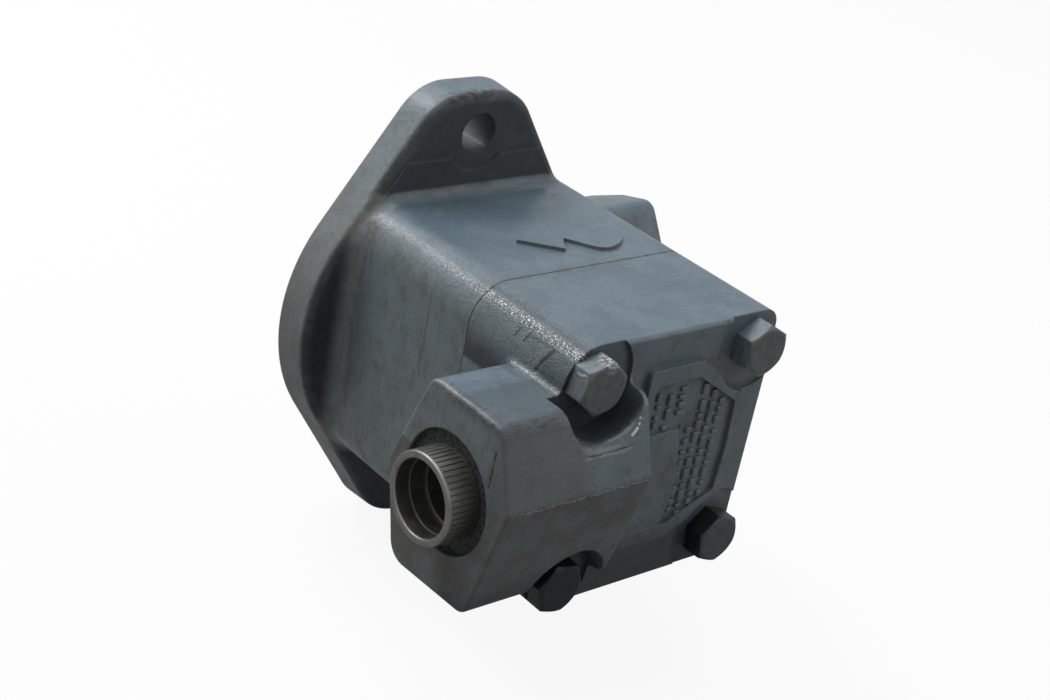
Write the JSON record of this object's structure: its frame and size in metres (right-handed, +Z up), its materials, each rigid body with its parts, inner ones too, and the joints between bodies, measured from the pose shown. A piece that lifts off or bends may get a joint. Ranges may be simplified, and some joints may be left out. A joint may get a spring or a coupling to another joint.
{
  "type": "hydraulic vane pump",
  "caption": "Flange-mounted hydraulic pump: cast body with inlet boss, bolted outlet cover with side port, keyed drive shaft, and vane pumping parts inside.",
  "frame": {"origin": "centre of the mounting face, on the shaft axis, where the pilot meets the flange", "axes": "+Y from the mounting face through body and cover, the shaft towards -Y; +Z up through the flange ears; +X towards the outlet port"},
  "size_m": [0.1171, 0.1418, 0.129],
  "materials": {
    "casting_enamel": "glossy blue-grey enamel over cast iron",
    "bolt_enamel": "the same enamel, chipped to steel on the head",
    "seal_rubber": "black nitrile",
    "hardened_steel": "ground",
    "plate_iron": "machined",
    "backup_plastic": "white fluoroplastic",
    "spring_steel": "oiled",
    "shaft_steel": "ground",
    "bearing_steel": "ground",
    "ball_steel": "polished",
    "cage_brass": "pressed",
    "seal_case_steel": "pressed",
    "bush_bronze": "bored",
    "plug_metal": "dull die-cast",
    "vane_steel": "lapped"
  },
  "bodies": {
    "housing": {"body_casting": "casting_enamel", "outlet_cover": "casting_enamel", "cover_bolts": "bolt_enamel", "cover_o_ring": "seal_rubber", "cam_ring": "hardened_steel", "locating_pins": "hardened_steel", "pressure_plate": "plate_iron", "pressure_plate_o_ring": "seal_rubber", "pressure_plate_backup_ring": "backup_plastic", "pressure_plate_spring": "spring_steel", "bearing_outer_race": "bearing_steel", "bearing_retaining_ring": "spring_steel", "shaft_seal_case": "seal_case_steel", "shaft_seal_lip": "seal_rubber", "shaft_seal_spring": "spring_steel", "shaft_bushing": "bush_bronze"},
    "shaft": {"drive_shaft": "shaft_steel", "shaft_key": "shaft_steel", "shaft_retaining_ring": "spring_steel", "bearing_inner_race": "bearing_steel", "rotor": "hardened_steel"},
    "cage": {"bearing_cage": "cage_brass", "bearing_balls": "ball_steel"},
    "plug": {"outlet_port_plug": "plug_metal"},
    "vane_01_body": {"vane_01": "vane_steel"},
    "vane_02_body": {"vane_02": "vane_steel"},
    "vane_03_body": {"vane_03": "vane_steel"},
    "vane_04_body": {"vane_04": "vane_steel"},
    "vane_05_body": {"vane_05": "vane_steel"},
    "vane_06_body": {"vane_06": "vane_steel"},
    "vane_07_body": {"vane_07": "vane_steel"},
    "vane_08_body": {"vane_08": "vane_steel"},
    "vane_09_body": {"vane_09": "vane_steel"},
    "vane_10_body": {"vane_10": "vane_steel"},
    "vane_11_body": {"vane_11": "vane_steel"},
    "vane_12_body": {"vane_12": "vane_steel"}
  },
  "joints": [
    {"name": "shaft_spin", "type": "hinge", "parent": "housing", "child": "shaft", "pos_m": [0, 0, 0], "axis": [0, 1, 0], "continuous": true},
    {"name": "cage_spin", "type": "hinge", "parent": "housing", "child": "cage", "pos_m": [0, 0.0039, 0], "axis": [0, 1, 0], "continuous": true},
    {"name": "outlet_plug_pull", "type": "slide", "parent": "housing", "child": "plug", "axis": [1, 0, 0], "range_m": [0, 0.045]},
    {"name": "vane_01_slide", "type": "slide", "parent": "shaft", "child": "vane_01_body", "axis": [0.9659, 0, 0.2588], "range_m": [0, 0.000398]},
    {"name": "vane_02_slide", "type": "slide", "parent": "shaft", "child": "vane_02_body", "axis": [0.7071, 0, 0.7071], "range_m": [0, 0.00161]},
    {"name": "vane_03_slide", "type": "slide", "parent": "shaft", "child": "vane_03_body", "axis": [0.2588, 0, 0.9659], "range_m": [0, 0.00282]},
    {"name": "vane_04_slide", "type": "slide", "parent": "shaft", "child": "vane_04_body", "axis": [-0.2588, 0, 0.9659], "range_m": [0, 0.00282]},
    {"name": "vane_05_slide", "type": "slide", "parent": "shaft", "child": "vane_05_body", "axis": [-0.7071, 0, 0.7071], "range_m": [0, 0.00161]},
    {"name": "vane_06_slide", "type": "slide", "parent": "shaft", "child": "vane_06_body", "axis": [-0.9659, 0, 0.2588], "range_m": [0, 0.000398]},
    {"name": "vane_07_slide", "type": "slide", "parent": "shaft", "child": "vane_07_body", "axis": [-0.9659, 0, -0.2588], "range_m": [0, 0.000398]},
    {"name": "vane_08_slide", "type": "slide", "parent": "shaft", "child": "vane_08_body", "axis": [-0.7071, 0, -0.7071], "range_m": [0, 0.00161]},
    {"name": "vane_09_slide", "type": "slide", "parent": "shaft", "child": "vane_09_body", "axis": [-0.2588, 0, -0.9659], "range_m": [0, 0.00282]},
    {"name": "vane_10_slide", "type": "slide", "parent": "shaft", "child": "vane_10_body", "axis": [0.2588, 0, -0.9659], "range_m": [0, 0.00282]},
    {"name": "vane_11_slide", "type": "slide", "parent": "shaft", "child": "vane_11_body", "axis": [0.7071, 0, -0.7071], "range_m": [0, 0.00161]},
    {"name": "vane_12_slide", "type": "slide", "parent": "shaft", "child": "vane_12_body", "axis": [0.9659, 0, -0.2588], "range_m": [0, 0.000398]}
  ],
  "couplings": [
    {"joint": "cage_spin", "follows": "shaft_spin", "ratio": 0.3815},
    {"joint": "vane_07_slide", "follows": "vane_01_slide", "ratio": 1},
    {"joint": "vane_08_slide", "follows": "vane_02_slide", "ratio": 1},
    {"joint": "vane_09_slide", "follows": "vane_03_slide", "ratio": 1},
    {"joint": "vane_10_slide", "follows": "vane_04_slide", "ratio": 1},
    {"joint": "vane_11_slide", "follows": "vane_05_slide", "ratio": 1},
    {"joint": "vane_12_slide", "follows": "vane_06_slide", "ratio": 1}
  ]
}
